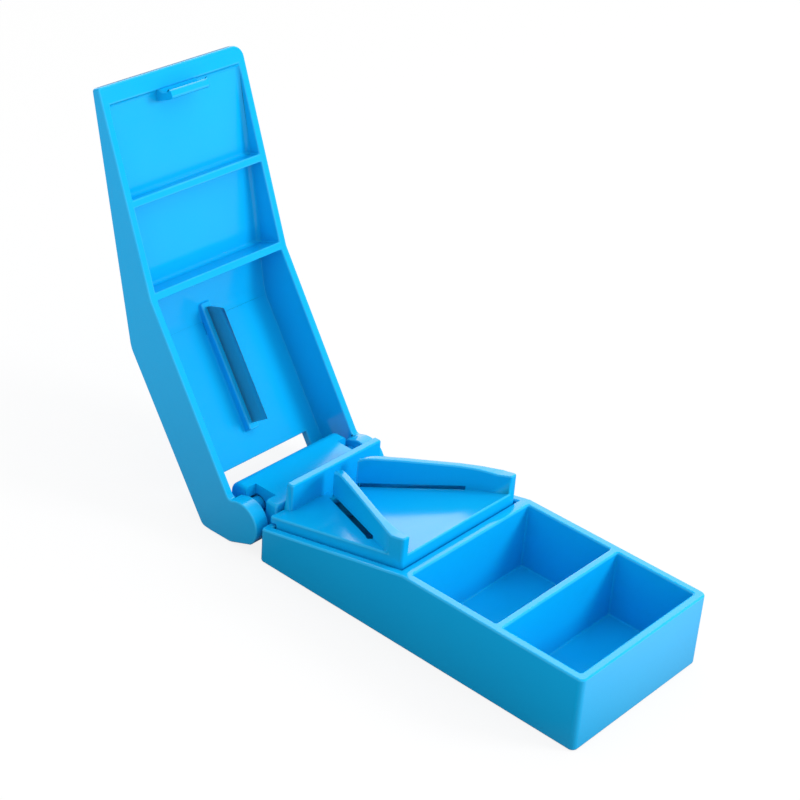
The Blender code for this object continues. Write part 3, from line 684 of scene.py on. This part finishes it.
REAR_TOP, REAR_FOOT = rear_face()


def rear_inner_top():
    """Where the inside of the sloping rear face meets the inside of the roof."""
    lean = (REAR_TOP[0] - REAR_FOOT[0]) / (REAR_TOP[1] - REAR_FOOT[1])
    z = 12.0
    for _ in range(40):
        x = REAR_INNER + (z - REAR_FOOT[1]) * lean
        z += 0.5 * (roof(x, ROOF_T) - z)
    return (x, z)


INNER_TOP = rear_inner_top()


def cover_blank():
    """The solid cover: its side outline pushed across, with the roof edges and tip rounded."""
    # the side wall runs down past the hinge axis to the lug's rounded foot
    lug_drop = (LUG_R ** 2 - (COVER_REAR - LUG_X) ** 2) ** 0.5
    lug_start = 180 + degrees(atan2(lug_drop, LUG_X - COVER_REAR))
    lug_front = LUG_X + LUG_R
    outline = [(TIP_X, RIM_Z), (TIP_X, TIP_TOP)]
    outline += corner((TIP_X, TIP_TOP), PEAK, REAR_TOP, 6.0, 12)
    outline += corner(PEAK, REAR_TOP, REAR_FOOT, REAR_CORNER_R, 10)
    outline += corner(REAR_TOP, REAR_FOOT, (COVER_REAR, 0.0), 3.0, 6)
    outline += arc(LUG_X, LUG_Z, LUG_R, lug_start, 360.0, 44)
    outline += corner((lug_front, LUG_Z), (lug_front, cover_rim(lug_front)),
                      (COVER_KINK, RIM_Z), 1.2, 10)
    outline += [(COVER_KINK, RIM_Z)]
    cover = prism("cover_body", outline, HALF)
    round_edges(cover, ROOF_EDGE_R, 10, lambda ends: on_side(ends, HALF)
                and all(end.z > 13.2 for end in ends)
                and not all(end.z < RIM_Z + 0.1 for end in ends)
                and not all(abs(end.x - TIP_X) < NEAR for end in ends))

    plan = box("tip_trim", (TIP_X - 60, TIP_X), (-HALF, HALF), (-5, 40))
    for side, radius in zip(SIDES, TIP_CORNER_R):
        round_edges(plan, radius, 10,
                    lambda ends: all(abs(end.x - TIP_X) < NEAR
                                     and abs(end.y - side * HALF) < NEAR for end in ends))
    add(plan, box("rear_keep", (-20, TIP_X - 30), (-HALF - 1, HALF + 1), (-5, 40)))
    merge(cover, plan, "INTERSECT")
    return cover


def hollow(name, outline, floor_z):
    """Cutter for one space inside the cover, rounded above floor_z but not at its rear."""
    tool = prism(name, outline, COVER_INNER_HALF)
    round_edges(tool, 0.9, 6, lambda ends: all(end.z > floor_z for end in ends)
                and not all(end.x < INNER_TOP[0] + 0.1 for end in ends))
    return tool


def rear_hollow():
    front, foot = RIBS[0][0], -4.0
    front_top = (front, roof(front, ROOF_T))
    outline = [(front, foot), front_top]
    outline += corner(front_top, roof_peak(ROOF_T), INNER_TOP, 9.0, 10)
    outline += [INNER_TOP, (REAR_INNER, REAR_FOOT[1]), (REAR_INNER, foot)]
    tool = hollow("rear_hollow", outline, 8.0)
    for side in SIDES:       # the side wall stays thick round each lug
        cut(tool, rod("lug_stock", LUG_X, LUG_Z, LUG_R + 0.3,
                      (side * LUG_INNER, side * (COVER_INNER_HALF + 1.0)), 128))
    return tool


def latch_tongue():
    """Tongue behind the tip, with a rounded lip at its end."""
    rear, front = TONGUE_X
    outline = [(rear, roof(rear, ROOF_BITE)), (67.6, TONGUE_END + 0.5), (67.9, TONGUE_END),
               (68.4, TONGUE_END)]
    outline += arc(68.6, TONGUE_END + 0.7, 0.7, -60, 60, 10)
    outline += [(69.0, TONGUE_END + 2.4), (front, RIM_Z - 0.4), (front, roof(front, ROOF_BITE))]
    tongue = prism("tongue", outline, TONGUE_HALF)
    round_edges(tongue, 0.35, 4, lambda ends: on_side(ends, TONGUE_HALF)
                and any(end.z < TONGUE_END + 1.0 for end in ends))
    return tongue


def blade_rib():
    """Rib that carries the blade, square to the rear roof slope."""
    tops = [below_roof(x, 1.0) for x in BLADE_RIB_X]
    outline = [(x, min(z, roof(x, ROOF_BITE))) for x, z in tops]
    outline += [below_roof(x, RIB_DEPTH) for x in BLADE_RIB_X[::-1]]
    return prism("blade_rib", outline, BLADE_RIB_T / 2)


def tongue_foot(ends):
    """Edges round the foot of the tongue, which stay crisp."""
    return all(66.9 < end.x < 69.65 and end.z > RIM_Z - 1.0 and abs(end.y) < TONGUE_HALF + 0.1
               for end in ends)


def build_cover():
    cover = cover_blank()
    foot = RIM_Z - 6
    for name, front, rear in (("tip_hollow", TIP_INNER, RIBS[1][1]),
                              ("middle_hollow", RIBS[1][0], RIBS[0][1])):
        outline = [(front, foot), (front, roof(front, ROOF_T)), (rear, roof(rear, ROOF_T)),
                   (rear, foot)]
        cut(cover, hollow(name, outline, RIM_Z - 5))
    cut(cover, rear_hollow())
    for side in SIDES:
        add(cover, rod("stub", HINGE_X, HINGE_Z, STUB_R,
                       (side * STUB_END, side * (LUG_INNER + 1.0)), 64))

    # notch over the knuckle, a little wider round the knuckle's ends
    step_x, step_z = WINDOW_STEP
    cut(cover, prism("notch", [(-30, -12), (step_x, -12), (step_x, step_z), (WINDOW_X, step_z),
                               (WINDOW_X, 40), (-30, 40)], WINDOW_HALF))
    cut(cover, box("notch_foot", (-30, REAR_INNER + 0.8), (-WINDOW_FOOT_HALF, WINDOW_FOOT_HALF),
                   (-12, WINDOW_FOOT_TOP)))
    add(cover, latch_tongue())
    add(cover, blade_rib())
    soften(cover, COVER_EDGE_R, tongue_foot)
    return cover


# ---------------------------------------------------------------- blade (drawn shut)
BLADE_T = 0.36
BLADE_TOP = 1.3              # depth of its back below the roof's outer face
BLADE_GRIND = 1.1            # height of the ground edge
EDGE_HALF = 0.03             # half thickness left at the cutting edge
BLADE_X = (5.4, 27.0)        # where the cutting edge starts and ends
BLADE_NOSE = 1.2             # how much longer the blade is at its back


def build_blade():
    """A flat blade square to the rear roof slope, ground to an edge on both sides."""
    rear, front = BLADE_X
    back_front = front + BLADE_NOSE
    outline = [below_roof(rear, BLADE_TOP), below_roof(back_front, BLADE_TOP),
               below_roof(back_front, RIB_DEPTH + 0.6), below_roof(front, BLADE_EDGE),
               below_roof(rear, BLADE_EDGE)]
    blade = prism("blade_blank", outline, BLADE_T / 2)

    tilt = Matrix.Rotation(-REAR_TILT, 4, "Y")
    here = tilt @ Vector((0, 0, -BLADE_EDGE * MM))
    there = below_roof((rear + front) / 2, BLADE_EDGE)
    grind_top, past_edge = BLADE_GRIND - BLADE_EDGE, -BLADE_EDGE - 1.0
    for side in SIDES:
        wedge = prism("grind", [(side * BLADE_T / 2, grind_top), (side * EDGE_HALF, -BLADE_EDGE),
                                (side * EDGE_HALF, past_edge), (side * 2.0, past_edge),
                                (side * 2.0, grind_top)], 25, "X")
        wedge.data.transform(tilt)
        shift = (there[0] * MM - here.x, 0, there[1] * MM - here.z)
        wedge.data.transform(Matrix.Translation(shift))
        cut(blade, wedge)
    return blade


# ---------------------------------------------------------------- placing
TRAY_REAR = -TRAY_LENGTH / 2
BASE_POSE = Matrix.Translation((TRAY_REAR * MM, 0.0, 0.0))
LID_POSE = (Matrix.Translation(((TRAY_REAR + HINGE_X) * MM, 0, HINGE_Z * MM))
            @ Matrix.Rotation(-radians(OPEN_ANGLE), 4, "Y")
            @ Matrix.Translation((-HINGE_X * MM, 0.0, -HINGE_Z * MM)))


def place(obj, name, body, pose, material):
    """Names a finished piece, moves it into the frame, ties it to its body and hides the CAD node
    it stands for.
    """
    obj.name = name + "_moulding"
    obj.data.name = obj.name
    obj.data.transform(pose)
    obj.data.materials.clear()
    obj.data.materials.append(material)
    for face in obj.data.polygons:
        face.material_index = 0
    # large flat faces set the shading, so the rounded edges blend into them
    weighted = obj.modifiers.new("flat_faces_win", "WEIGHTED_NORMAL")
    weighted.weight = 100
    weighted.keep_sharp = True
    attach(obj, body)
    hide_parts(name)


# ---------------------------------------------------------------- studio
def paper_material():
    """White paper to the camera; what the piece gets back from it is weaker close by."""
    material, tree, matt = new_material("studio_paper")
    shaded_half = (0.036, 0.034, 0.0)    # half size of the patch where the paper is darkest
    sheen_centre = (0.062, 0.022, 0.0)   # bright spot seen only in reflections
    camera_white = 0.86

    # distance out from the shaded patch
    where = add_node(tree, "TexCoord").outputs["Object"]
    centred = vector_math(tree, "ADD", where, (0.0, 0.0, 0.0))
    sides = vector_math(tree, "ABSOLUTE", centred)
    beyond = vector_math(tree, "SUBTRACT", sides, shaded_half)
    outside = vector_math(tree, "MAXIMUM", beyond, (0.0, 0.0, 0.0))
    reach = vector_math(tree, "LENGTH", outside, output="Value")

    # light bounced to matt surfaces, then brightness in glossy reflections
    bounce = remap(tree, reach, source=(0.0, 0.09), to=(0.14, 0.95))
    shine = remap(tree, reach, source=(0.0, 0.02), to=(0.05, 0.34))
    ahead = vector_math(tree, "DISTANCE", where, sheen_centre, output="Value")
    sheen = remap(tree, ahead, source=(0.018, 0.055), to=(0.65, 0.0))
    gleam = math(tree, "ADD", shine, sheen)

    white = (1, 1, 1, 1)
    glow = add_node(tree, "Emission", {"Color": white, "Strength": 1.0}).outputs["Emission"]
    dim = add_node(tree, "Emission", {"Color": white, "Strength": gleam}).outputs["Emission"]
    rays = add_node(tree, "LightPath").outputs
    seen = mix(tree, "FLOAT", rays["Is Camera Ray"], 0.0, camera_white)
    colour = mix(tree, "FLOAT", rays["Is Camera Ray"], bounce, camera_white)
    feed(matt, {"Base Color": colour, "Roughness": 0.95, "Specular IOR Level": 0.0})
    direct = mix_shader(tree, seen, matt.outputs["BSDF"], glow)
    surface = mix_shader(tree, rays["Is Glossy Ray"], direct, dim)
    feed(tree.nodes["Material Output"], {"Surface": surface})
    return material


def build_floor():
    bm = bmesh.new()
    bmesh.ops.create_grid(bm, x_segments=1, y_segments=1, size=3.0)
    floor = as_object("studio_floor", bm)
    floor.location.z = -0.0001    # just under the tray, so the faces don't coincide
    floor.data.materials.append(paper_material())


def build_sky():
    """White to the camera, brighter from above for matt surfaces, a bright pane in the gloss."""
    bright_side = Vector((0.36, 0.32, 0.87)).normalized()
    pane_side = Vector((-0.70, 0.65, 0.30)).normalized()
    world = bpy.data.worlds.new("studio")
    bpy.context.scene.world = world
    world.use_nodes = True
    tree = world.node_tree
    rays = add_node(tree, "LightPath").outputs
    direction = add_node(tree, "TexCoord").outputs["Generated"]
    to_bright = vector_math(tree, "DOT_PRODUCT", direction, bright_side, output="Value")
    soft = remap(tree, to_bright, source=(-1.0, 1.0), to=(0.34, 1.22))
    to_pane = vector_math(tree, "DOT_PRODUCT", direction, pane_side, output="Value")
    pane = remap(tree, to_pane, source=(0.62, 0.86), to=(0.12, 2.2))
    unseen = mix(tree, "FLOAT", rays["Is Glossy Ray"], soft, pane)
    strength = mix(tree, "FLOAT", rays["Is Camera Ray"], unseen, 1.0)
    feed(tree.nodes["Background"], {"Color": (1, 1, 1, 1), "Strength": strength})


def build_key_light():
    """Small square light, high on the +X +Y side, kept out of reflections."""
    location, target = Vector((0.36, 0.22, 0.26)), Vector((-0.02, 0, 0.03))
    data = bpy.data.lights.new("soft_key", "AREA")
    data.shape = "RECTANGLE"
    data.size = data.size_y = 0.14
    data.energy = 1.3
    key = bpy.data.objects.new("soft_key", data)
    bpy.context.scene.collection.objects.link(key)
    key.location = location
    key.rotation_euler = (target - location).to_track_quat("-Z", "Y").to_euler()
    key.visible_glossy = False


def build_camera():
    # the camera's own axes in the world: right, up, and back towards the viewer
    right = Vector((0.7393, 0.6702, 0.0651))
    upward = Vector((-0.3868, 0.3434, 0.8558))
    backward = Vector((0.5512, -0.6579, 0.5131))
    data = bpy.data.cameras.new("camera")
    data.sensor_width = 36.0
    data.lens = 90.783
    data.clip_start = 0.01
    data.clip_end = 10
    camera = bpy.data.objects.new("camera", data)
    bpy.context.scene.collection.objects.link(camera)
    camera.matrix_world = Matrix.Translation((0.17331, -0.23097, 0.21441)) \
        @ Matrix((right, upward, backward)).transposed().to_4x4()
    bpy.context.scene.camera = camera
    bpy.context.scene.view_settings.view_transform = "Standard"


# ---------------------------------------------------------------- build
blue, steel = plastic_material(), steel_material()
tray, cradle, cover, blade = build_tray(), build_cradle(), build_cover(), build_blade()
place(tray, "base_tray", "base", BASE_POSE, blue)
place(cradle, "pill_cradle", "base", BASE_POSE, blue)
place(cover, "cover", "lid", LID_POSE, blue)
place(blade, "cutting_blade", "lid", LID_POSE, steel)
build_floor()
build_sky()
build_key_light()
build_camera()
